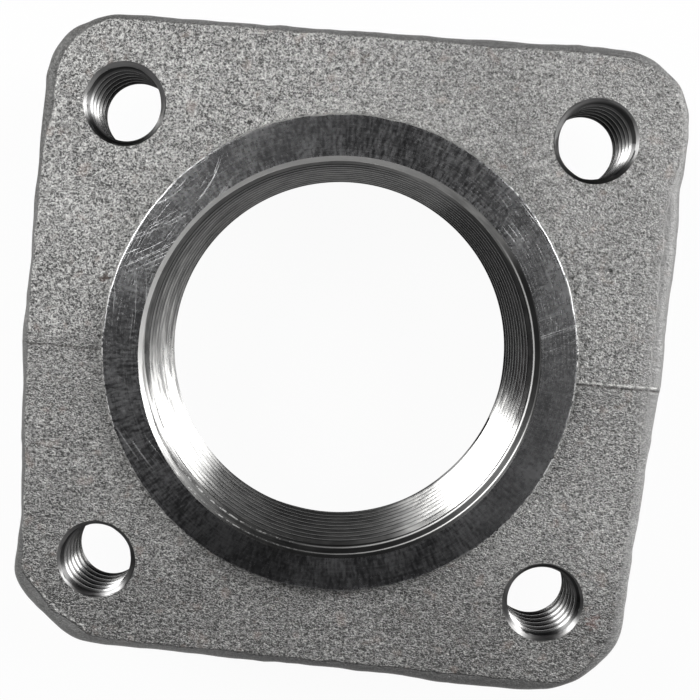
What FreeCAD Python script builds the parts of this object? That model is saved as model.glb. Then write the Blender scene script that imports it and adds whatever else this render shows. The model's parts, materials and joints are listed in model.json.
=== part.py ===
import FreeCAD, Part
import math
import os

os.makedirs("parts", exist_ok=True)

# Square plate, cast standing on edge: it is widest and thickest on the plane y = 0, where
# the halves of the mould met, and tapers from there to its upper and lower edges
hole_spacing = 69.0
hole_margin = 13.5
plate_thickness = 13.5
side_draft = 1.4
face_draft = 1.2
corner_radius = 11.0
edge_rounding = 1.6

# Bore, at the crests of a parallel 2 inch pipe thread
bore_radius = 28.33
front_chamfer = 1.5
back_chamfer = 1.0

# Round hub behind the plate and low faced ring in front of it, both around the bore
hub_wall = 8.7
hub_rise = 10.0
hub_root_radius = 3.0
ring_wall = 6.8
ring_rise = 1.5
ring_flank = 12.0

# Corner holes, at the crests of an M12 thread
hole_radius = 5.2
hole_chamfer = 0.95

# How far a cutter runs past the face that it opens, and a boss into the plate that carries it
overrun = 1.0
sunk = 3.0

# What follows from these sizes: the hub stands on z = 0 and the ring is the top
half_side = hole_spacing / 2 + hole_margin
hub_radius = bore_radius + hub_wall
ring_radius = bore_radius + ring_wall
plate_back = hub_rise
plate_front = plate_back + plate_thickness
ring_face = plate_front + ring_rise


def taper(angle, length):
    """How far a surface with this draft in degrees has moved inwards after a length."""
    return length * math.tan(math.radians(angle))


def outline_face(outline):
    """Flat face inside a closed outline of points."""
    points = [FreeCAD.Vector(*p) for p in outline]
    return Part.Face(Part.makePolygon(points + points[:1]))


def upper_edges(solid, wanted):
    """Edges above the parting plane whose direction at their middle passes a test."""
    found = []
    for edge in solid.Edges:
        middle = (edge.FirstParameter + edge.LastParameter) / 2
        if edge.valueAt(middle).y > 0.01 and wanted(edge.tangentAt(middle)):
            found.append(edge)
    return found


def half_plate():
    """Upper half of the plate: its front outline within its tapered section, with rounded rims."""
    top_half = half_side - taper(side_draft, half_side)
    outline = outline_face(
        [(-half_side, 0, 0), (half_side, 0, 0), (top_half, half_side, 0), (-top_half, half_side, 0)]
    ).extrude(FreeCAD.Vector(0, 0, ring_face))
    outline = outline.makeFillet(corner_radius, upper_edges(outline, lambda way: abs(way.z) > 0.9))
    drop = taper(face_draft, half_side)
    section = outline_face([
        (-half_side, 0, plate_back),
        (-half_side, 0, plate_front),
        (-half_side, half_side, plate_front - drop),
        (-half_side, half_side, plate_back + drop),
    ]).extrude(FreeCAD.Vector(2 * half_side, 0, 0))
    blank = outline.common(section)
    return blank.makeFillet(edge_rounding, upper_edges(blank, lambda way: abs(way.z) < 0.5))


def hub():
    """Hub whose root fillet is tangent to the back of the plate, and which leans with that tapered face."""
    root = hub_radius + hub_root_radius
    bend = hub_root_radius * (1 - math.sqrt(0.5))
    inside = plate_back + sunk
    end = -overrun
    corners = [
        (0, inside), (root, inside), (root, plate_back),
        (hub_radius, plate_back - hub_root_radius), (hub_radius, end), (0, end),
    ]
    points = [FreeCAD.Vector(x, 0, z) for x, z in corners]
    edges = [Part.makeLine(a, b) for a, b in zip(points, points[1:] + points[:1])]
    edges[2] = Part.Arc(points[2], FreeCAD.Vector(hub_radius + bend, 0, plate_back - bend), points[3]).toShape()
    solid = Part.Face(Part.Wire(edges)).revolve(FreeCAD.Vector(), FreeCAD.Vector(0, 0, 1), 360)
    solid.rotate(FreeCAD.Vector(0, 0, plate_back), FreeCAD.Vector(1, 0, 0), face_draft)
    return solid


def ring():
    """Ring with a sloping flank, in front of the plate."""
    foot = ring_rise + sunk
    foot_radius = ring_radius + taper(ring_flank, foot)
    return Part.makeCone(foot_radius, ring_radius, foot, FreeCAD.Vector(0, 0, ring_face - foot))


def casting():
    """The part as it leaves the mould: its upper half, and the same half again below the parting plane."""
    half_space = Part.makeBox(
        4 * half_side, 2 * half_side, 4 * ring_face, FreeCAD.Vector(-2 * half_side, 0, -2 * ring_face)
    )
    half = half_plate().fuse([hub().common(half_space), ring().common(half_space)]).removeSplitter()
    lower_half = half.mirror(FreeCAD.Vector(), FreeCAD.Vector(0, 1, 0))
    return half.fuse(lower_half).removeSplitter()


def drill(x, y, radius, low, high, low_chamfer, high_chamfer):
    """Drill with a 45 degree flare at both ends, for a hole from one face to the other."""
    profile = outline_face([
        (x, y, low - overrun),
        (x + radius + low_chamfer + overrun, y, low - overrun),
        (x + radius, y, low + low_chamfer),
        (x + radius, y, high - high_chamfer),
        (x + radius + high_chamfer + overrun, y, high + overrun),
        (x, y, high + overrun),
    ])
    return profile.revolve(FreeCAD.Vector(x, y, 0), FreeCAD.Vector(0, 0, 1), 360)


def machined(blank):
    """The casting with its hub faced to length, its bore and its corner holes."""
    room = 4 * half_side
    blank = blank.common(Part.makeBox(room, room, ring_face, FreeCAD.Vector(-room / 2, -room / 2, 0)))
    tools = [drill(0, 0, bore_radius, 0, ring_face, back_chamfer, front_chamfer)]
    reach = hole_spacing / 2
    low = plate_back + taper(face_draft, reach)
    high = plate_front - taper(face_draft, reach)
    for x in (-reach, reach):
        for y in (-reach, reach):
            tools.append(drill(x, y, hole_radius, low, high, hole_chamfer, hole_chamfer))
    return blank.cut(tools)


flange = machined(casting())
flange.exportStep("parts/flange.step")
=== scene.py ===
import itertools
import json
import math

import bmesh
import bpy
import numpy as np
from mathutils import Euler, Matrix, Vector


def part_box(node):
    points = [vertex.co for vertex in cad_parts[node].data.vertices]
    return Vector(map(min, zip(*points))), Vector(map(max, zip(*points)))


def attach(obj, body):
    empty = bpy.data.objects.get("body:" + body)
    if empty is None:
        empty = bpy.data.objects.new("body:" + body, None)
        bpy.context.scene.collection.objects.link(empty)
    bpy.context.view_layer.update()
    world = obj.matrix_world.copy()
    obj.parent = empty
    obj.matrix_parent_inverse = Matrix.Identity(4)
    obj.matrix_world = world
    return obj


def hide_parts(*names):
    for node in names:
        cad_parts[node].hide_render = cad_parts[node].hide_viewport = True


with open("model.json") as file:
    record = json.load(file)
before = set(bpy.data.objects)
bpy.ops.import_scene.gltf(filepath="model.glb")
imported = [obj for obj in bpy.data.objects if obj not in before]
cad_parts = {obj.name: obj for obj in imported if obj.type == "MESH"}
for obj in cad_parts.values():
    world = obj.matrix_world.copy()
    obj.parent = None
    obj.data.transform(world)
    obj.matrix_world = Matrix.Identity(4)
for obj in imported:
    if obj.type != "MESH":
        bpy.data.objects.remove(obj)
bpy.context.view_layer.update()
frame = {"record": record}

# Sizes are in millimetres up to the finished mesh, which is in metres like the frame
MM = 0.001

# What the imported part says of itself
high_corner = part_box("flange")[1]
mounts = {mount["name"]: mount for mount in frame["record"]["mounts"]}
HALF_SIDE = high_corner.x / MM
TOP = high_corner.z / MM
BORE_CREST = mounts["pipe_thread"]["dims"]["r_mm"]
HOLE_CREST = mounts["corner_holes"]["dims"]["hole_r_mm"]
HOLE_REACH = mounts["corner_holes"]["dims"]["spacing_x_mm"] / 2

# Plate: it tapers from the parting plane y = 0, in width and on both faces
PLATE_BACK = 10.0
PLATE_FRONT = 23.5
SIDE_TAPER = math.tan(math.radians(1.4))
FACE_TAPER = math.tan(math.radians(1.2))
CORNER_RADIUS = 11.0
RIM_ROUNDING = 1.6

# Ring in front of the plate and hub behind it, both around the bore
RING_RADIUS = 35.13
RING_FLANK = math.tan(math.radians(12))
RING_ROOT = 0.5
RING_EDGE = 0.16
RING_WAVER = 0.09
HUB_RADIUS = 37.03
HUB_ROOT = 3.0
HUB_EDGE = 0.3

# Bore thread, with the angle at which its first groove leaves the chamfer, and how shallow it starts
BORE_PITCH = 25.4 / 11
BORE_DEPTH = 1.48
BORE_START = math.radians(200)
RUN_IN = 4.0
RUN_IN_DEPTH = 0.5

# The front chamfer was cut a little off the thread's axis
FRONT_CHAMFER = 1.42
CHAMFER_SHIFT = 0.45
CHAMFER_TOWARDS = math.radians(-75)
BACK_CHAMFER = 1.0

# Corner threads
HOLE_PITCH = 1.75
HOLE_DEPTH = 0.9
HOLE_CHAMFER = 0.95

# Where the edges of crest and root lie within one turn of a thread
CREST_EDGE = 0.035
ROOT_EDGE = 0.42
EDGES_PER_TURN = 4

# Cells of the mesh: along the border of one quarter of the plate, and across each surface
SEAM_CELLS = 9
SIDE_CELLS = 40
CORNER_CELLS = 32
ROOT_CELLS = 54
FACE_ROWS = 24
BACK_ROWS = 9
ROUNDING_ROWS = 6
SIDE_ROWS = 9
RING_ROOT_ROWS = 4
EDGE_ROWS = 3
HUB_ROWS = 4
HUB_ROOT_ROWS = 6
FRONT_MOUTH_ROWS = 8
BACK_MOUTH_ROWS = 5
MOUTH_STEP = 0.11

# Rows of the ring's face, as shares of its width. The first lies close to the rounded edge, so that
# the edge's shading ends there
RING_FACE_SHARES = (0.03, 0.2, 0.4, 0.6, 0.8, 1.0)

# Points closer than this are one, and edges sharper than this angle stay sharp
WELD = 0.003
SHARP = math.radians(32)

# Finishes, by the number of their material slot
CAST, TURNED, BORED, TAPPED = range(4)

# Unevenness of the cast outline. Outside a square core of this half side it fades in between two
# distances. Each swelling is given by its place, how far it reaches and how much it stands out
CORE = 37.0
UNEVEN_FROM = 4
UNEVEN_FULL = 10
SWELLINGS = np.array([
    (-41.8, -44.2, 6.0, -1.7),
    (-47.5, -38.0, 4.5, 0.7),
    (-36.0, -48.0, 6.0, 0.3),
    (-30.0, -48.0, 20.0, 0.6),
    (0.0, -48.0, 20.0, 0.65),
    (32.0, -48.0, 20.0, 0.75),
    (-30.0, 48.0, 22.0, -0.3),
    (5.0, 48.0, 20.0, -0.25),
    (-42.1, 45.5, 7.0, -0.35),
    (45.5, 43.0, 5.0, 0.6),
    (47.8, 36.0, 6.0, 0.5),
    (48.0, 28.0, 9.0, 0.35),
    (48.0, 19.0, 6.0, 0.4),
    (46.0, -34.0, 9.0, 0.4),
    (48.0, 3.0, 6.0, 0.25),
    (-47.2, 10.9, 4.0, -0.45),
    (-47.0, -28.0, 10.0, -0.3),
    (46.9, -31.0, 7.0, -0.4),
    (44.8, -42.9, 6.0, -0.5),
    (42.0, -46.0, 5.0, -0.25),
    (24.0, -48.6, 9.0, 0.6),
])

# Random lumps of the outline (height, size, stretch along z and seed), of the cast skin (height, size
# and seed) and of the ring's edge (size and seed)
OUTLINE_LUMPS = [(0.13, 4.0, 0.4, 7), (0.09, 1.8, 0.5, 8)]
SKIN_LUMPS = [(0.12, 11.0, 1), (0.06, 4.0, 2), (0.03, 1.7, 3)]
EDGE_LUMPS = [(3.0, 11), (1.2, 12)]


def smooth_step(low, high, value):
    """Rises from 0 at low to 1 at high along the curve 3t^2 - 2t^3."""
    t = np.clip((value - low) / (high - low), 0, 1)
    return t * t * (3 - 2 * t)


def spread(start, end, cells):
    """Evenly spaced values from start to just before end."""
    return np.linspace(start, end, cells, endpoint=False)


def row_values(start, end, cells):
    """Evenly spaced values from start to end, as a column: one for each row of points."""
    return np.linspace(start, end, cells + 1)[:, None]


def lumps(points, size, seed):
    """Smooth random heights from -1 to 1: random values at the corners of cubes of this size,
    blended between the eight corners around each point with the curve 3t^2 - 2t^3."""
    values = np.random.default_rng(seed).uniform(-1, 1, 4096)
    cell = np.floor(points / size).astype(np.int64)
    part = points / size - cell
    ease = part * part * (3 - 2 * part)
    height = np.zeros(len(points))
    for corner in itertools.product((0, 1), repeat=3):
        weight = np.prod(np.where(corner, ease, 1 - ease), axis=1)
        place = (cell + corner) @ np.array([73, 1733, 15731])
        height += weight * values[place % len(values)]
    return height


def grid(rows, closed, climb=0):
    """Quads of a grid of points, counted row by row. closed joins each row's last point to the first
    point of the row that lies climb rows further on."""
    count_rows, count = rows.shape[:2]
    index = np.arange(count_rows * count).reshape(count_rows, count)
    if closed:
        following = np.clip(np.arange(count_rows) + climb, 0, count_rows - 1)
        index = np.concatenate([index, index[following, :1]], axis=1)
    corners = [index[:-1, :-1], index[:-1, 1:], index[1:, 1:], index[1:, :-1]]
    return np.stack(corners, axis=-1).reshape(-1, 4)


def face_height(y, front):
    """Height of the tapered front or back of the plate above the base."""
    drop = np.abs(y) * FACE_TAPER
    return PLATE_FRONT - drop if front else PLATE_BACK + drop


def root_radius(front, angle):
    """Distance from the bore's axis at which the ring's flank or the hub's fillet meets the plate.
    The flank is longer where the plate's face has fallen away."""
    if not front:
        return np.full_like(angle, HUB_RADIUS + HUB_ROOT)
    rise = TOP - PLATE_FRONT + RING_RADIUS * np.abs(np.sin(angle)) * FACE_TAPER
    return RING_RADIUS + rise * RING_FLANK + RING_ROOT


def quarter_outline():
    """Outline of the plate's first quarter, from the parting plane up its tapered side, round
    the corner and along its top to x = 0, with the outward normal at each point. The corner is an
    arc that touches the side and the top."""
    lean = math.atan(SIDE_TAPER)
    centre_y = HALF_SIDE - CORNER_RADIUS
    centre_x = HALF_SIDE - centre_y * SIDE_TAPER - CORNER_RADIUS / math.cos(lean)
    y = spread(0, centre_y + CORNER_RADIUS * math.sin(lean), SIDE_CELLS)
    side = np.stack([HALF_SIDE - y * SIDE_TAPER, y], axis=1)
    side_normal = np.tile([math.cos(lean), math.sin(lean)], (SIDE_CELLS, 1))
    side_normal[0] = (1, 0)
    turn = spread(lean, math.pi / 2, CORNER_CELLS)
    corner_normal = np.stack([np.cos(turn), np.sin(turn)], axis=1)
    corner = (centre_x, centre_y) + CORNER_RADIUS * corner_normal
    x = np.linspace(centre_x, 0, SIDE_CELLS + 1)
    top = np.stack([x, np.full_like(x, HALF_SIDE)], axis=1)
    top_normal = np.tile([0.0, 1.0], (len(x), 1))
    return np.concatenate([side, corner, top]), np.concatenate([side_normal, corner_normal, top_normal])


def quarter_border(front):
    """Closed border of the first quarter of a face, anticlockwise: out along the parting plane,
    along the inner edge of the rim's rounding, in along x = 0, and back round the root."""
    outline, normal = quarter_outline()
    rim = outline - RIM_ROUNDING * normal
    angle = spread(math.pi / 2, 0, ROOT_CELLS)
    root = root_radius(front, angle)[:, None] * np.stack([np.cos(angle), np.sin(angle)], axis=1)
    first = root_radius(front, np.zeros(1))[0]
    seam = np.stack([spread(first, rim[0, 0], SEAM_CELLS), np.zeros(SEAM_CELLS)], axis=1)
    centre_line = np.stack([np.zeros(SEAM_CELLS), spread(rim[-1, 1], root[0, 1], SEAM_CELLS)], axis=1)
    return np.concatenate([seam, rim[:-1], centre_line, root])


def hole_angles():
    """Angles around a hole for the points of its quarter's border, evenly spaced from the angle of
    the first one."""
    border = quarter_border(True)
    first = np.arctan2(border[0, 1] - HOLE_REACH, border[0, 0] - HOLE_REACH)
    return first + spread(0, 2 * math.pi, len(border))


def quarter_face(front, rows):
    """One quarter of the plate's front or back: straight lines from the mouth of its hole to its
    border, at the height of the tapered face."""
    border = quarter_border(front)
    angle = hole_angles()
    mouth = HOLE_REACH + (HOLE_CREST + HOLE_CHAMFER) * np.stack([np.cos(angle), np.sin(angle)], axis=1)
    share = row_values(0, 1, rows)[..., None]
    flat = mouth + share * (border - mouth)
    return np.concatenate([flat, face_height(flat[..., 1:], front)], axis=2)


def quarter_rim():
    """Rim of the first quarter: the outline carried through a quarter circle over the front edge,
    down the side, and through a quarter circle to the back."""
    outline, normal = quarter_outline()
    centre = outline - RIM_ROUNDING * normal
    turn = row_values(0, math.pi / 2, ROUNDING_ROWS)
    share = row_values(0, 1, SIDE_ROWS)[1:-1]
    front = face_height(centre[:, 1], True) - RIM_ROUNDING
    back = face_height(centre[:, 1], False) + RIM_ROUNDING
    outwards = np.concatenate([np.sin(turn), np.ones_like(share), np.sin(turn[::-1])])
    over = front + RIM_ROUNDING * np.cos(turn)
    down = front + share * (back - front)
    under = back - RIM_ROUNDING * np.cos(turn[::-1])
    height = np.concatenate([over, down, under])
    flat = centre + RIM_ROUNDING * outwards[..., None] * normal
    return np.concatenate([flat, height[..., None]], axis=2)


def thread_depth(angle, height, depth, pitch, start, handed=1):
    """How deep an internal thread has cut: a groove with straight sides that climbs one pitch for
    each turn to the left, or to the right where handed is -1, with a narrow flat at its bottom and
    another on the crest between two turns."""
    phase = np.mod(height / pitch - handed * (angle - start) / (2 * math.pi), 1)
    side = (0.5 - np.abs(phase - 0.5) - CREST_EDGE) / (ROOT_EDGE - CREST_EDGE)
    return depth * np.clip(side, 0, 1)


def thread_heights(angle, low, high, pitch, start, handed=1):
    """Heights of rows that climb with a thread, one row on each edge of its crest and root, held
    between two heights. The rows start and end some turns past those."""
    climb = handed * (angle - start) / (2 * math.pi)
    first = math.floor(low / pitch - climb.max()) - 2
    last = math.ceil(high / pitch - climb.min()) + 2
    turns = np.arange(first, last + 1)
    edges = np.array([-CREST_EDGE, CREST_EDGE, ROOT_EDGE, 1 - ROOT_EDGE])
    phase = (turns[:, None] + edges).reshape(-1, 1)
    return np.clip(pitch * (phase + climb), low, high)


def ring_of(angle, radius, height):
    """Circles of points round the bore's axis, whose radius and height may change round it."""
    radius, height, angle = np.broadcast_arrays(radius, height, angle)
    return np.stack([radius * np.cos(angle), radius * np.sin(angle), height], axis=-1)


def front_chamfer(angle):
    """Depth of the off-centre chamfer at the front of the bore."""
    return FRONT_CHAMFER + CHAMFER_SHIFT * np.cos(angle - CHAMFER_TOWARDS)


def bore_radius(angle, height):
    """Radius of the bore: its crest, plus whichever has cut deepest of the thread, which starts
    shallow at the front, and the 45 degree chamfers at both ends."""
    run_in = RUN_IN_DEPTH + (1 - RUN_IN_DEPTH) * smooth_step(0, RUN_IN, TOP - height)
    thread = thread_depth(angle, height, BORE_DEPTH * run_in, BORE_PITCH, BORE_START)
    thread = np.where((height > 0) & (height < TOP), thread, 0)
    front = height - (TOP - front_chamfer(angle))
    return BORE_CREST + np.maximum(np.maximum(thread, front), BACK_CHAMFER - height)


def ring_surfaces(angle):
    """Ring in front of the plate: a flank that leaves the plate in a small curve, a slightly wavy
    rounded edge, and the face. Gives (rows, climb, finish) for each."""
    root = root_radius(True, angle)
    foot = root - RING_ROOT
    face = face_height(root * np.sin(angle), True)
    bend = row_values(0, 1, RING_ROOT_ROWS)
    start_weight, knee_weight, end_weight = (1 - bend) ** 2, 2 * bend * (1 - bend), bend ** 2
    radius = start_weight * root + knee_weight * foot + end_weight * (foot - RING_ROOT * RING_FLANK)
    flank = ring_of(angle, radius, face + end_weight * RING_ROOT)

    turn = row_values(0, math.pi / 2, EDGE_ROWS)
    circle = ring_of(angle, RING_RADIUS, TOP)
    outer = RING_RADIUS + RING_WAVER * sum(lumps(circle, size, seed) for size, seed in EDGE_LUMPS)
    edge = ring_of(angle, outer - RING_EDGE * (1 - np.cos(turn)), TOP - RING_EDGE * (1 - np.sin(turn)))
    inner_edge = outer - RING_EDGE
    mouth = BORE_CREST + front_chamfer(angle)
    share = np.array(RING_FACE_SHARES)[:, None]
    ring_face = ring_of(angle, inner_edge + share * (mouth - inner_edge), TOP)
    return [
        (np.concatenate([flank, edge[:1]]), 0, CAST),
        (np.concatenate([edge, ring_face]), 0, TURNED),
    ]


def bore_surfaces(angle):
    """Bore: level rows through the front chamfer, rows that climb with the thread, and level rows
    through the back chamfer. Gives (rows, climb, finish) for each."""
    split = TOP - FRONT_CHAMFER - CHAMFER_SHIFT - MOUTH_STEP
    back_split = BACK_CHAMFER + MOUTH_STEP
    front_heights = row_values(TOP, split, round((TOP - split) / MOUTH_STEP))
    climbing = thread_heights(angle, back_split, split, BORE_PITCH, BORE_START)
    back_heights = row_values(back_split, 0, BACK_MOUTH_ROWS)
    return [
        (ring_of(angle, bore_radius(angle, front_heights), front_heights), 0, BORED),
        (ring_of(angle, bore_radius(angle, climbing), climbing), EDGES_PER_TURN, BORED),
        (ring_of(angle, bore_radius(angle, back_heights), back_heights), 0, BORED),
    ]


def hub_surfaces(angle):
    """Hub behind the plate: a faced end with a rounded edge, the side, and a fillet that is a quarter
    circle and leans with the tapered back. Gives (rows, climb, finish) for each."""
    back_mouth = BORE_CREST + BACK_CHAMFER
    share = row_values(0, 1, HUB_ROWS)
    end = ring_of(angle, back_mouth + share * (HUB_RADIUS - HUB_EDGE - back_mouth), 0.0)
    turn = row_values(0, math.pi / 2, EDGE_ROWS)
    edge = ring_of(angle, HUB_RADIUS - HUB_EDGE * (1 - np.sin(turn)), HUB_EDGE * (1 - np.cos(turn)))

    reach = HUB_RADIUS + HUB_ROOT
    side_top = face_height(reach * np.sin(angle), False) - HUB_ROOT
    side = ring_of(angle, HUB_RADIUS, HUB_EDGE + share[:-1] * (side_top - HUB_EDGE))
    turn = row_values(0, math.pi / 2, HUB_ROOT_ROWS)
    fillet = ring_of(angle, reach - HUB_ROOT * np.cos(turn), side_top + HUB_ROOT * np.sin(turn))
    return [
        (np.concatenate([end, edge[1:]]), 0, TURNED),
        (np.concatenate([side, fillet]), 0, CAST),
    ]


def turned_surfaces():
    """Everything round the bore's axis, from the front of the plate to its back. Each row is a circle
    or climbs with the thread. Gives (rows, climb, finish) for each."""
    angle = spread(0, 2 * math.pi, 4 * ROOT_CELLS)
    return ring_surfaces(angle) + bore_surfaces(angle) + hub_surfaces(angle)


def hole_surfaces(handed):
    """The first quarter's threaded hole, round the same angles as the face around it. Groove and
    countersinks meet where either has cut deepest, and the mouths lie in the tapered faces. A
    quarter that is mirrored once gets a thread of the other hand first. Gives (rows, climb, finish)
    for each."""
    angle = hole_angles()
    low = face_height(HOLE_REACH, False)
    high = face_height(HOLE_REACH, True)

    def placed(height):
        """Points at these heights, which lean with the nearer face inside its countersink."""
        height = np.broadcast_arrays(height, angle)[0]
        above = height - (high - HOLE_CHAMFER)
        below = low + HOLE_CHAMFER - height
        thread = thread_depth(angle, height, HOLE_DEPTH, HOLE_PITCH, 0, handed)
        thread = np.where((height > low) & (height < high), thread, 0)
        radius = HOLE_CREST + np.maximum(np.maximum(above, below), thread)
        across = radius * np.sin(angle)
        lean = (np.clip(below, 0, None) - np.clip(above, 0, None)) * FACE_TAPER / HOLE_CHAMFER
        return np.stack(
            [HOLE_REACH + radius * np.cos(angle), HOLE_REACH + across, height + across * lean], axis=-1
        )

    split = high - HOLE_CHAMFER - MOUTH_STEP
    back_split = low + HOLE_CHAMFER + MOUTH_STEP
    climbing = thread_heights(angle, back_split, split, HOLE_PITCH, 0, handed)
    return [
        (placed(row_values(high, split, FRONT_MOUTH_ROWS)), 0, TAPPED),
        (placed(climbing), handed * EDGES_PER_TURN, TAPPED),
        (placed(row_values(back_split, low, BACK_MOUTH_ROWS)), 0, TAPPED),
    ]


def flange_surfaces():
    """Every surface of the part, as (rows, closed, climb, finish): four quarters of the plate, each
    the first one mirrored, with their holes, and the turned surfaces."""
    plate = [
        (quarter_face(True, FACE_ROWS), True, 0, CAST),
        (quarter_face(False, BACK_ROWS), True, 0, CAST),
        (quarter_rim(), False, 0, CAST),
    ]
    for right, upper in itertools.product((1, -1), repeat=2):
        holes = [(rows, True, climb, finish) for rows, climb, finish in hole_surfaces(right * upper)]
        for rows, closed, climb, finish in plate + holes:
            yield rows * (right, upper, 1), closed, climb, finish
    for rows, climb, finish in turned_surfaces():
        yield rows, True, climb, finish


def joined_mesh(name, surfaces):
    """One closed mesh in millimetres from surfaces that share their borders."""
    points, quads, finishes = [], [], []
    count = 0
    for rows, closed, climb, finish in surfaces:
        faces = grid(rows, closed, climb)
        points.append(rows.reshape(-1, 3))
        quads.append(faces + count)
        finishes.append(np.full(len(faces), finish, dtype=np.int32))
        count += rows.shape[0] * rows.shape[1]
    mesh = bpy.data.meshes.new(name)
    mesh.from_pydata(np.concatenate(points), [], np.concatenate(quads))
    mesh.polygons.foreach_set("material_index", np.concatenate(finishes))
    shell = bmesh.new()
    shell.from_mesh(mesh)
    bmesh.ops.remove_doubles(shell, verts=shell.verts, dist=WELD)
    bmesh.ops.recalc_face_normals(shell, faces=shell.faces)
    shell.to_mesh(mesh)
    shell.free()
    return mesh


def uneven(points):
    """Moves points out or in along the line from the core of the plate: by each swelling, which fades
    as a bell curve with the distance from its place, and by small lumps. Fades to nothing inwards."""
    out = points[:, :2] - np.clip(points[:, :2], -CORE, CORE)
    length = np.linalg.norm(out, axis=1)
    away = points[:, None, :2] - SWELLINGS[:, :2]
    bell = np.exp(-(away ** 2).sum(axis=2) / SWELLINGS[:, 2] ** 2)
    amount = bell @ SWELLINGS[:, 3]
    for rise, size, stretch, seed in OUTLINE_LUMPS:
        amount = amount + rise * lumps(points * (1, 1, stretch), size, seed)
    amount = amount * smooth_step(UNEVEN_FROM, UNEVEN_FULL, length)
    moved = points.copy()
    moved[:, :2] += out * (amount / np.maximum(length, 1e-6))[:, None]
    return moved


def cast_lumps(mesh):
    """Moves the points of the cast skin along their normals by lumps of three sizes. Points on the
    border of a machined surface stay."""
    points = np.empty(3 * len(mesh.vertices), dtype=np.float32)
    mesh.vertices.foreach_get("co", points)
    points = uneven(points.reshape(-1, 3).astype(float))
    mesh.vertices.foreach_set("co", points.ravel())
    mesh.update()
    normals = np.empty(3 * len(points), dtype=np.float32)
    mesh.vertex_normals.foreach_get("vector", normals)
    finish = np.empty(len(mesh.polygons), dtype=np.int32)
    mesh.polygons.foreach_get("material_index", finish)
    sides = np.empty(len(mesh.polygons), dtype=np.int32)
    mesh.polygons.foreach_get("loop_total", sides)
    corners = np.empty(len(mesh.loops), dtype=np.int32)
    mesh.loops.foreach_get("vertex_index", corners)
    cast = np.ones(len(points))
    cast[corners[np.repeat(finish != CAST, sides)]] = 0
    height = sum(rise * lumps(points, size, seed) for rise, size, seed in SKIN_LUMPS)
    points = points + normals.reshape(-1, 3) * (cast * height)[:, None]
    mesh.vertices.foreach_set("co", (points * MM).ravel())
    mesh.update()


class Value:
    """An output of a node. Arithmetic on it adds the Math nodes that work it out."""

    def __init__(self, board, node, output):
        self.board = board
        self.node = node
        self.socket = node.outputs[output] if node.outputs else None

    def output(self, name):
        """Another output of the same node."""
        return Value(self.board, self.node, name)

    def math(self, operation, *others):
        """The result of a Math node whose first value is this one."""
        return self.board.math(operation, self, *others)

    def __add__(self, other):
        return self.math("ADD", other)

    def __radd__(self, other):
        return self.math("ADD", other)

    def __sub__(self, other):
        return self.math("SUBTRACT", other)

    def __rsub__(self, other):
        return self.board.math("SUBTRACT", other, self)

    def __mul__(self, other):
        return self.math("MULTIPLY", other)

    def __rmul__(self, other):
        return self.math("MULTIPLY", other)

    def __truediv__(self, other):
        return self.math("DIVIDE", other)

    def __rtruediv__(self, other):
        return self.board.math("DIVIDE", other, self)

    def step(self, low, high):
        """Rises smoothly from 0 where this value is low to 1 where it is high."""
        settings = {"interpolation_type": "SMOOTHSTEP"}
        ends = {"Value": self, "From Min": low, "From Max": high, "To Min": 0.0, "To Max": 1.0}
        return self.board.node("ShaderNodeMapRange", settings, ends)

    def near(self, centre, width):
        """1 where this value is at the centre, falling smoothly to 0 at this distance from it."""
        return 1 - (self - centre).math("ABSOLUTE").step(0.0, width)


class Board:
    """The nodes of one material or of the world."""

    def __init__(self, owner):
        owner.use_nodes = True
        self.tree = owner.node_tree
        self.tree.nodes.clear()

    def node(self, kind, settings, inputs, output=0):
        """Adds a node: its settings first, then the values or links of its inputs."""
        node = self.tree.nodes.new(kind)
        for name, value in settings.items():
            setattr(node, name, value)
        for name, value in inputs.items():
            if isinstance(value, Value):
                self.tree.links.new(value.socket, node.inputs[name])
            else:
                node.inputs[name].default_value = value
        return Value(self, node, output)

    def math(self, operation, *values):
        """Result of a Math node."""
        return self.node("ShaderNodeMath", {"operation": operation}, dict(enumerate(values)))

    def place(self):
        """Place on the part in millimetres."""
        inputs = {0: self.node("ShaderNodeTexCoord", {}, {}, "Object"), "Scale": 1 / MM}
        return self.node("ShaderNodeVectorMath", {"operation": "SCALE"}, inputs)

    def parts(self, vector):
        """The three numbers of a vector."""
        x = self.node("ShaderNodeSeparateXYZ", {}, {0: vector}, "X")
        return x, x.output("Y"), x.output("Z")

    def distance(self, place, point):
        """How far a place is from a point."""
        ends = {0: place, 1: point}
        return self.node("ShaderNodeVectorMath", {"operation": "DISTANCE"}, ends, "Value")

    def length(self, x, y):
        """How long a line with these two legs is."""
        return (x * x + y * y).math("SQRT")

    def vector(self, x, y, z):
        """A vector from three numbers."""
        return self.node("ShaderNodeCombineXYZ", {}, {"X": x, "Y": y, "Z": z})

    def noise(self, place, size, detail=2.0, roughness=0.5):
        """Cloudy pattern around 0.5 whose patches have this size."""
        inputs = {"Vector": place, "Scale": 1 / size, "Detail": detail, "Roughness": roughness}
        return self.node("ShaderNodeTexNoise", {}, inputs)

    def colour(self, share, first, second):
        """The first colour where the share is 0, the second where it is 1."""
        first, second = (c if isinstance(c, Value) else (*c, 1.0) for c in (first, second))
        return self.node("ShaderNodeMix", {"data_type": "RGBA"}, {0: share, 6: first, 7: second}, 2)

    def bump(self, height, strength=1.0):
        """Normal of a surface that stands out by this height in millimetres."""
        return self.node("ShaderNodeBump", {}, {"Height": height, "Strength": strength, "Distance": MM})

    def finish(self, inputs):
        """Ends a material with the surface that has these inputs."""
        surface = self.node("ShaderNodeBsdfPrincipled", {}, inputs)
        self.node("ShaderNodeOutputMaterial", {}, {"Surface": surface})


def part_board(name):
    """A new material, its board, the place on the part, and that place's three numbers."""
    material = bpy.data.materials.new(name)
    board = Board(material)
    place = board.place()
    return material, board, place, *board.parts(place)


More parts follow.
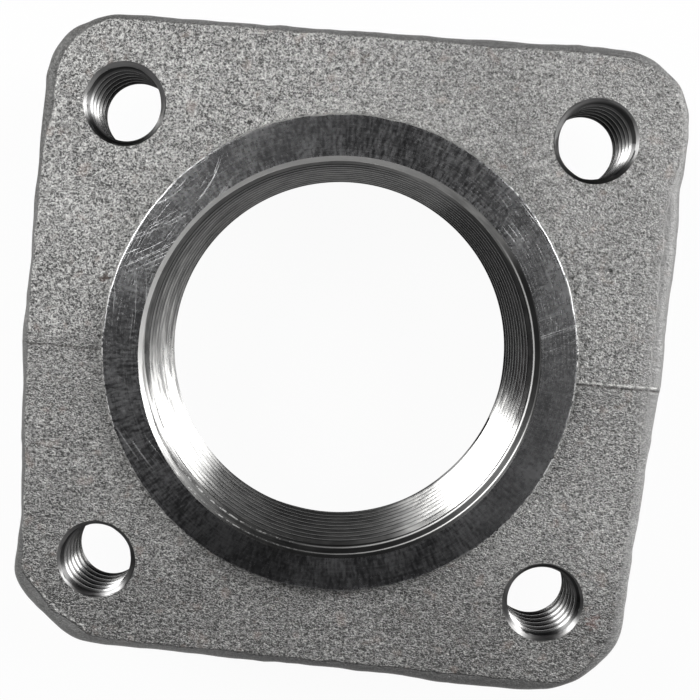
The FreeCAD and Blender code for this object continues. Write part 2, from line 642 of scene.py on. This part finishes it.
# Near-black colours, the darkest first: for dark marks, streaks and painted shade
BLACK = (0.03, 0.03, 0.03)
SHADE_BLACK = (0.04, 0.04, 0.04)
STREAK_AND_SHADE_GREY = (0.05, 0.05, 0.05)

# Above this height lie the ring and the front of the plate
FRONT_FROM = 20.0

# Marks on the skin: where, how far they reach, how strong they are, and their colour
MARKS = [
    (-15.8, 33.3, 0.45, 0.9, BLACK),
    (38.6, 16.3, 0.40, 0.9, BLACK),
    (39.0, 12.7, 0.35, 0.8, BLACK),
    (-35.8, 9.0, 0.9, 0.5, (0.15, 0.11, 0.09)),
    (42.6, -36.8, 1.4, 0.22, (0.40, 0.20, 0.17)),
]


def past_rim_start(board, place, right, ragged):
    """How far past the start of the rounded rim a place is, in millimetres, with a ragged start. The
    rim is widest at the left corners and on the right. Gives the left corners' widening too."""
    x, y = board.parts(place)[:2]
    over_x = (x.math("ABSOLUTE") + SIDE_TAPER * y.math("ABSOLUTE") - CORE).math("MAXIMUM", 0.0)
    over_y = (y.math("ABSOLUTE") - CORE).math("MAXIMUM", 0.0)
    flat_place = board.vector(x, y, 0.0)
    left_corners = 0.7 * board.distance(flat_place, (-47.0, 39.0, 0.0)).step(13.0, 5.0)
    left_corners = left_corners + 2.0 * board.distance(flat_place, (-41.8, -44.2, 0.0)).step(9.0, 3.0)
    start = 10.05 - 0.45 * y.step(20.0, 40.0) * (1 - 2.0 * right) - 0.2 * x.step(-30.0, -45.0)
    start = start - 0.95 * right * y.step(35.0, 25.0) - left_corners
    past_start = board.length(over_x, over_y) - start + 0.5 * (ragged - 0.5)
    return past_start + 0.8 * (board.noise(place, 3.0, 1.0) - 0.5), left_corners


def rim_colour(board, place):
    """Colour of the rounded rim, with its shade and light painted in: darkest at the upper left,
    lighter at the lower left, and on the right lighter towards the bottom."""
    x, y = board.parts(place)[:2]
    left_side = (y - 2.0 * x).step(104.0, 120.0)
    colour = board.colour(left_side, (0.17, 0.17, 0.168), (0.082, 0.082, 0.08))
    lower_left = y.step(-36.0, -42.0) * x.step(-5.0, -25.0)
    colour = board.colour(lower_left, colour, (0.26, 0.26, 0.255))
    right_colour = board.colour(y.step(40.0, -35.0), (0.20, 0.20, 0.197), (0.42, 0.42, 0.415))
    return board.colour(x.step(40.0, 46.5), colour, right_colour)


def parting_line(board, place):
    """Where the halves of the mould met, just below y = 0 with a slight wander: the share of a dark
    line, painted as the shade of its groove, and of a raised seam above it on the right, which gets a
    painted highlight."""
    x, y = board.parts(place)[:2]
    wander = 0.5 * (board.noise(place, 5.0, 2.0) - 0.5)
    height = y + wander + 0.75 + 0.95 * x.step(10.0, -10.0)
    line = height.near(-0.15, 0.3) * board.noise(place, 1.6, 2.0).step(0.30, 0.45)
    seam = height.near(0.3, 0.35) * board.noise(place, 0.9, 1.0).step(0.42, 0.55)
    return line, seam * x.step(-20.0, 20.0)


def cast_skin():
    """Sand-cast skin: fine grain with short bright ridges, dark pits and faint warm tints, smoother
    on the rounded rim, with the mould's parting line and a few marks."""
    material, board, place, x, y, z = part_board("cast_skin")
    lower = y.math("MINIMUM", 0.0)
    grain_place = board.vector(x * 0.9, y + 0.4 * lower, z)
    fine = board.noise(grain_place, 0.28, 2.0, 0.7)
    middle = board.noise(grain_place, 0.75, 2.0, 0.6)
    broad = board.noise(place, 16.0, 2.0)
    clouds = board.noise(grain_place, 0.6, 1.0)
    ridges = (clouds - 0.5).math("ABSOLUTE").step(0.07, 0.015) * clouds.step(0.46, 0.56)
    pits = board.noise(place, 0.6).step(0.34, 0.26)

    flat_place = board.vector(x, y, 0.0)
    quiet = x.step(-25.0, 25.0) * (0.15 + 0.3 * y.step(-20.0, 30.0))
    band_x = x + 1.5 * (board.noise(place, 4.0, 1.0) - 0.5)
    light_band = band_x.step(43.2, 46.5) * y.step(35.0, 27.0) * y.step(-12.0, -2.0)
    quiet = quiet + 0.35 * light_band
    tone = 0.5 + (3.2 * (fine - 0.5) + 1.5 * (middle - 0.5)) * (1 - quiet) + 0.4 * (broad - 0.5)
    # Painted shade: darker towards the bottom and below the parting line on the left, with a little
    # painted light at the upper left
    tone = tone - 0.22 * y.step(-20.0, -40.0) - 0.07 * y.step(8.0, -8.0) * x.step(0.0, -30.0)
    tone = tone + 0.03 * board.distance(flat_place, (-35.0, 42.0, 0.0)).step(26.0, 6.0) - 0.03
    colour = board.colour(tone.step(-0.12, 1.6), (0.08, 0.08, 0.078), (0.90, 0.895, 0.875))
    colour = board.colour(ridges * (0.85 - quiet), colour, (0.80, 0.79, 0.77))
    colour = board.colour(pits * 0.6, colour, (0.12, 0.11, 0.105))
    warm = board.noise(place, 2.6, 2.0).step(0.60, 0.75) * 0.3
    colour = board.colour(warm, colour, (0.42, 0.34, 0.30))

    right = x.step(38.0, 45.0)
    past_start, left_corners = past_rim_start(board, place, right, middle)
    rim = past_start.step(0.0, 0.25)
    colour = board.colour(light_band * 0.35, colour, (0.46, 0.455, 0.45))
    # The rounded rim in its painted shade and light
    colour = board.colour(rim * (0.85 - 0.35 * right), colour, rim_colour(board, place))
    beads = past_start.near(-0.25, 0.35) * x.step(-20.0, -40.0)
    beads = beads * board.noise(place, 0.9, 1.0).step(0.50, 0.60)
    colour = board.colour(beads * left_corners.step(0.1, 0.6) * 0.8, colour, (0.85, 0.84, 0.82))

    parting, seam = parting_line(board, place)
    # Painted shade in the parting line's groove, and a painted highlight on the seam above it
    colour = board.colour(parting * 0.65, colour, (0.07, 0.065, 0.06))
    colour = board.colour(seam * 0.7, colour, (0.8, 0.79, 0.77))

    front = z.step(FRONT_FROM, FRONT_FROM + 1)
    for mark_x, mark_y, reach, strength, mark_colour in MARKS:
        away = board.distance(flat_place, (mark_x, mark_y, 0.0)) + 3.0 * reach * (middle - 0.5)
        colour = board.colour(away.step(reach, 0.3 * reach) * front * strength, colour, mark_colour)

    height = (0.30 * fine + 0.40 * middle) * (1 - 0.35 * quiet) * (1 - 0.7 * rim)
    height = height - 0.12 * pits - 0.12 * parting + 0.05 * seam + 0.04 * ridges
    board.finish({
        "Base Color": colour,
        "Metallic": 0.75,
        "Roughness": 0.56 + 0.2 * (middle - 0.5),
        "Normal": board.bump(height),
    })
    return material


# Arc-shaped scuffs on the faced ring: their arcs' centre, the middle of the patch that they cover,
# how far it reaches, and how many lines there are to a millimetre
SCUFFS = [
    (-33.3, 30.2, -24.0, 22.5, 8.5, 6.0),
    (-60.0, 70.0, -28.5, 14.5, 8.0, 7.0),
    (80.0, 75.0, 24.0, 22.5, 5.0, 5.0),
    (-90.0, 5.0, -31.5, 5.0, 7.0, 5.0),
    (60.0, -60.0, 31.0, 5.0, 6.0, 5.0),
    (20.0, 25.0, -28.5, -15.0, 6.5, 3.5),
]


def scuffed_share(board, x, y):
    """Share of the ring's face that arc-shaped scratches cover, patch by patch."""
    share = 0.0
    for centre_x, centre_y, patch_x, patch_y, reach, fineness in SCUFFS:
        from_centre = board.length(x - centre_x, y - centre_y)
        from_patch = board.length(x - patch_x, y - patch_y)
        lines = board.noise(board.vector(fineness * from_centre, 0.06 * x, 0.06 * y), 1.0, 2.0, 0.7)
        scuff = lines.step(0.62, 0.69) * from_patch.step(reach, 0.3 * reach)
        share = scuff.math("MAXIMUM", share)
    return share


def turned_metal():
    """Turned faces: dull bright iron with fine tool marks round the bore's axis, streaks across them,
    fine mottling and scuffs, painted shade at the bottom and lower left, painted light on the right and
    upper left, and along the ring's edge bright burr specks with painted highlights, broken by painted
    shade."""
    material, board, place, x, y, z = part_board("turned_metal")
    radius = board.length(x, y)
    round_marks = board.vector(4.0 * x / radius, 4.0 * y / radius, 5.0 * radius)
    marks = board.noise(round_marks, 1.0, 3.0, 0.6)
    streak_place = board.vector(75.0 * x / radius, 75.0 * y / radius, 0.6 * radius)
    streaks = board.noise(streak_place, 1.0, 2.0, 0.6)
    mottling = board.noise(place, 0.4, 2.0, 0.6)
    broad = board.noise(place, 6.0, 2.0)
    contrast = 0.8 * (marks - 0.5) + 1.5 * (streaks - 0.5) + 0.55 * (mottling - 0.5)
    tone = 0.5 + contrast * (1 - 0.65 * x.step(16.0, 30.0)) + 0.6 * (broad - 0.5)
    colour = board.colour(tone.step(0.1, 0.9), (0.15, 0.15, 0.153), (0.63, 0.63, 0.636))
    # Painted shade at the bottom and the lower left, and painted light on the right and the upper left
    colour = board.colour(y.step(-20.0, -30.0) * 0.3, colour, (0.10, 0.10, 0.10))
    lower_left = board.distance(place, (-12.5, -30.0, TOP)).step(13.0, 5.0)
    colour = board.colour(lower_left * 0.5, colour, (0.07, 0.07, 0.07))
    brighter = x.step(20.0, 32.0) * 0.35 + (y - x).step(28.0, 46.0) * 0.4
    colour = board.colour(brighter, colour, (0.70, 0.70, 0.705))

    scuffed = scuffed_share(board, x, y)
    colour = board.colour(scuffed * 0.6, colour, (0.80, 0.80, 0.80))

    # Along the ring's edge: painted shade in patches, heavier on the right, that breaks up the edge's
    # highlight, and bright burr specks on the left and right, partly painted highlight where the edge
    # faces the lamps
    edge_start = RING_RADIUS - RING_EDGE
    edge = radius.step(edge_start - 0.01, edge_start + 0.05) * z.step(FRONT_FROM, FRONT_FROM + 1)
    specks = board.noise(place, 0.6, 2.0, 0.6).step(0.44, 0.54)
    darkening = edge * (1 - specks) * (0.5 + 0.4 * x.step(0.0, 20.0))
    colour = board.colour(darkening, colour, SHADE_BLACK)
    burr_and_glint = edge * specks * x.math("ABSOLUTE").step(15.0, 30.0)
    colour = board.colour(burr_and_glint * 0.7, colour, (0.9, 0.895, 0.88))
    roughness = 0.27 + 0.15 * (mottling - 0.5) + 0.1 * (broad - 0.5)
    board.finish({
        "Base Color": colour,
        "Metallic": 1.0,
        "Roughness": roughness + 0.15 * scuffed + 0.3 * burr_and_glint,
        "Normal": board.bump(0.03 * marks + 0.012 * streaks + 0.008 * mottling + 0.01 * scuffed),
    })
    return material


def cut_metal(board, place, dark, bright):
    """Colour between these two with faint marks along the cut, the marks, and broad patches."""
    x, y, z = board.parts(place)
    marks = board.noise(board.vector(0.35 * x, 0.35 * y, 4.0 * z), 1.0, 3.0, 0.6)
    broad = board.noise(place, 3.0, 2.0)
    tone = 0.5 + 1.2 * (marks - 0.5) + 0.8 * (broad - 0.5)
    return board.colour(tone.step(0.1, 0.9), dark, bright), marks, broad


def chamfer_height(board, place):
    """Height above the base, tilted with the off-centre front chamfer, so that it is the same all
    along the chamfer's lower edge."""
    x, y, z = board.parts(place)
    lean = CHAMFER_SHIFT / BORE_CREST
    return z + lean * math.cos(CHAMFER_TOWARDS) * x + lean * math.sin(CHAMFER_TOWARDS) * y


def chamfer_colour(board, place, level, chamfer, wall):
    """The wall's colour with the front chamfer's: painted shade and bands in its lower part, a thin
    painted highlight along its upper edge and another further down, and painted light at the upper
    left. Gives the share of the highlight lines too."""
    x, y = board.parts(place)[:2]
    # Painted shade in the chamfer's lower part, with bands
    lower = (0.9 * x - y).step(-4.0, 10.0).math("MAXIMUM", y.step(-12.0, -21.0))
    darkening = 0.74 + 0.14 * x.step(-20.0, 0.0) + 0.09 * x.step(0.0, 15.0)
    colour = board.colour(chamfer * lower * darkening, wall, BLACK)
    bands = board.noise(board.vector(0.12 * x, 0.12 * y, 5.0 * level), 1.0, 2.0, 0.6).step(0.46, 0.56)
    colour = board.colour(bands * chamfer * y.step(5.0, -10.0) * 0.6, colour, STREAK_AND_SHADE_GREY)
    # Painted highlights: a thin line along the chamfer's upper edge and another further down, broken on
    # the left
    edge_line = level.near(TOP - 0.05, 0.12) * (0.15 + 0.85 * y.step(-4.0, -14.0))
    line = level.near(TOP - 0.85, 0.16).math("MAXIMUM", edge_line) * lower
    broken = board.noise(place, 1.3, 3.0, 0.7).step(0.46, 0.60) * x.step(-27.0, -20.0) * 0.6
    shown = x.step(-10.0, 10.0).math("MAXIMUM", broken)
    colour = board.colour(line * 0.85 * shown, colour, (0.95, 0.945, 0.93))
    # Painted light on the chamfer at the upper left
    return board.colour(chamfer * (y - x).step(5.0, 25.0) * 0.75, colour, (0.78, 0.775, 0.76)), line


def bore_metal():
    """Thread and chamfers of the bore: painted shade on the upper and right sides and at the bottom,
    streaks with painted shade on the left wall, and painted shade along the far rim."""
    material, board, place, x, y, z = part_board("bore_metal")
    radius = board.length(x, y)
    level = chamfer_height(board, place)
    chamfer = level.step(TOP - 1.5, TOP - 1.3)
    colour, marks, broad = cut_metal(board, place, (0.34, 0.34, 0.335), (0.58, 0.575, 0.56))

    # Painted shade: on the upper and right sides, at the bottom, on the thread's crests in both, and at
    # the upper left near the front
    crest = radius.step(BORE_CREST + 0.2, BORE_CREST + 0.08)
    upper_right = y.step(-5.0, 5.0).math("MAXIMUM", x.step(14.0, 25.0))
    upper_left = (y - x).step(14.0, 32.0)
    shade = 0.68 * (0.906 * x + 0.423 * y).step(22.0, 26.0) + 0.12 * y.step(0.0, 15.0)
    shade = shade + crest * (0.45 * upper_right + 0.55 * y.step(-12.0, -24.0))
    shade = shade + 0.78 * (y + 0.15 * x).step(-22.0, -26.5)
    shade = shade + 0.45 * upper_left * z.step(TOP - 9.0, TOP - 3.0)
    colour = board.colour((shade * (1 - chamfer)).math("MINIMUM", 0.9), colour, SHADE_BLACK)
    colour, line = chamfer_colour(board, place, level, chamfer, colour)
    # Painted shade along the far rim
    colour = board.colour(z.step(1.9, 0.9), colour, BLACK)

    # Streaks on the left wall, with painted shade that dims the highlight there, most at its core
    left_wall = x.step(-15.0, -23.0) * (1 - chamfer)
    streaks = board.noise(board.vector(0.08 * x, 0.08 * y, 2.2 * z), 1.0, 3.0, 0.65).step(0.44, 0.62)
    darkening = left_wall * (0.12 + 0.5 * streaks + 0.28 * y.near(-8.0, 9.0))
    colour = board.colour(darkening, colour, STREAK_AND_SHADE_GREY)
    roughness = 0.17 + 0.15 * (broad - 0.5) + 0.2 * y.step(-5.0, 15.0) + 0.2 * chamfer
    roughness = roughness + 0.18 * y.step(-21.0, -26.5) * (1 - chamfer) + 0.1 * left_wall
    board.finish({
        "Base Color": colour,
        "Metallic": 1.0,
        "Roughness": roughness + 0.12 * line,
        "Normal": board.bump(0.01 * marks),
    })
    return material


def corner_metal():
    """Threads and countersinks of the corner holes: painted shade in the grooves, on the thread's upper
    side and along the far rim, and painted light on the upper side of the countersinks."""
    material, board, place, x, y, z = part_board("corner_metal")
    colour, marks, broad = cut_metal(board, place, (0.20, 0.20, 0.198), (0.42, 0.415, 0.41))
    from_x = x.math("ABSOLUTE") - HOLE_REACH
    from_y = y - HOLE_REACH * y.math("SIGN")
    radius = board.length(from_x, from_y)
    # Painted shade in the thread's grooves, stronger below the countersink
    groove = (radius + 0.15 * (broad - 0.5)).step(HOLE_CREST + 0.16, HOLE_CREST + 0.34)
    mouth = face_height(HOLE_REACH, True)
    below = z.step(mouth - 0.7 * HOLE_CHAMFER, mouth - 1.1 * HOLE_CHAMFER)
    colour = board.colour(groove * (0.35 + 0.5 * below), colour, BLACK)
    # Painted shade on the thread's upper side, and painted light on the countersink's upper side
    upper = from_y.step(-1.0, 3.0)
    colour = board.colour(upper * 0.6 * below, colour, SHADE_BLACK)
    colour = board.colour(upper * 0.3 * (1 - below), colour, (0.50, 0.495, 0.49))
    # Painted shade along the far rim
    colour = board.colour(z.step(PLATE_BACK + 2.0, PLATE_BACK + 1.0), colour, BLACK)
    board.finish({
        "Base Color": colour,
        "Metallic": 1.0,
        "Roughness": 0.26 + 0.15 * (broad - 0.5) + 0.15 * upper + 0.05 * (1 - below),
        "Normal": board.bump(0.015 * marks),
    })
    return material


def white_for_lookers(board):
    """1 for rays from the camera, and for those that a reflection or a clear material sends on."""
    path = board.node("ShaderNodeLightPath", {}, {}, "Is Camera Ray")
    seen = path.math("MAXIMUM", path.output("Is Glossy Ray"))
    return seen.math("MAXIMUM", path.output("Is Transmission Ray"))


def pale_floor():
    """Matt pale floor that looks white and keeps a soft shadow."""
    material = bpy.data.materials.new("pale_floor")
    board = Board(material)
    matt = board.node("ShaderNodeBsdfDiffuse", {}, {"Color": (0.8, 0.8, 0.8, 1.0)})
    glow = board.node("ShaderNodeEmission", {}, {"Color": (1.0, 1.0, 1.0, 1.0), "Strength": 1.0})
    share = 0.95 * white_for_lookers(board)
    mixed = board.node("ShaderNodeMixShader", {}, {0: share, 1: matt, 2: glow})
    board.node("ShaderNodeOutputMaterial", {}, {"Surface": mixed})
    return material


def studio_world():
    """Soft grey light from low down on the near side, darker overhead and behind, in front of a white
    background."""
    world = bpy.data.worlds.new("studio")
    board = Board(world)
    way = board.node("ShaderNodeTexCoord", {}, {}, "Generated")
    across, along, up = board.parts(way)
    near_side = (0.57 * across - 0.82 * along).step(-0.15, 0.6) * up.step(0.97, 0.35)
    light = board.colour(near_side, (0.055, 0.055, 0.057), (0.36, 0.36, 0.365))
    camera = board.node("ShaderNodeLightPath", {}, {}, "Is Camera Ray")
    colour = board.colour(camera, light, (1.0, 1.0, 1.0))
    background = board.node("ShaderNodeBackground", {}, {"Color": colour, "Strength": 1.0})
    board.node("ShaderNodeOutputWorld", {}, {"Surface": background})
    bpy.context.scene.world = world


# Softboxes: their distance and size in metres, and their power
SOFTBOX_DISTANCE = 0.5
SOFTBOX_SIZE = (0.22, 0.40)
SOFTBOX_POWER = 2.3


def softbox(name, turn, height):
    """Upright area lamp that faces the part. turn and height are the angles in degrees at which it
    hangs, seen from the part."""
    turn, height = math.radians(turn), math.radians(height)
    sideways = math.cos(height)
    way = Vector((sideways * math.cos(turn), sideways * math.sin(turn), math.sin(height)))
    lamp = bpy.data.lights.new(name, "AREA")
    lamp.shape = "RECTANGLE"
    lamp.size, lamp.size_y = SOFTBOX_SIZE
    lamp.energy = SOFTBOX_POWER
    holder = bpy.data.objects.new(name, lamp)
    holder.location = SOFTBOX_DISTANCE * way
    holder.rotation_euler = way.to_track_quat("Z", "Y").to_euler()
    bpy.context.scene.collection.objects.link(holder)


casting = joined_mesh("flange_casting", flange_surfaces())
cast_lumps(casting)
casting.shade_smooth()
casting.set_sharp_from_angle(angle=SHARP)
for material in (cast_skin(), turned_metal(), bore_metal(), corner_metal()):
    casting.materials.append(material)
piece = bpy.data.objects.new("flange_casting", casting)
bpy.context.scene.collection.objects.link(piece)
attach(piece, "root")
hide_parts("flange")

# Floor, in metres: just below the part, and out of sight at its ends
FLOOR_REACH = 3
FLOOR_HEIGHT = -0.0001
floor_mesh = bpy.data.meshes.new("floor")
floor_corners = [
    (x * FLOOR_REACH, y * FLOOR_REACH, FLOOR_HEIGHT) for x, y in ((-1, -1), (1, -1), (1, 1), (-1, 1))
]
floor_mesh.from_pydata(floor_corners, [], [(0, 1, 2, 3)])
floor_mesh.materials.append(pale_floor())
floor = bpy.data.objects.new("floor", floor_mesh)
bpy.context.scene.collection.objects.link(floor)

studio_world()
softbox("softbox_left", 153, 34)
softbox("softbox_right", 26, 32)

# Camera fitted to the photograph: lens in millimetres, place in metres and turn in degrees. Its lens
# is shifted because the picture is an off-centre crop
CAMERA_PLACE = (0.0003545, 0.0090759, 0.1640016)
CAMERA_TURN = (-6.05, 2.569, 4.885)
lens = bpy.data.cameras.new("camera")
lens.sensor_width = 36
lens.lens = 48.495
lens.shift_x = 0.0676
lens.shift_y = 0.0672
lens.clip_start = 0.01
camera = bpy.data.objects.new("camera", lens)
camera.location = CAMERA_PLACE
camera.rotation_euler = Euler([math.radians(angle) for angle in CAMERA_TURN])
bpy.context.scene.collection.objects.link(camera)
bpy.context.scene.camera = camera
bpy.context.scene.view_settings.view_transform = "Standard"
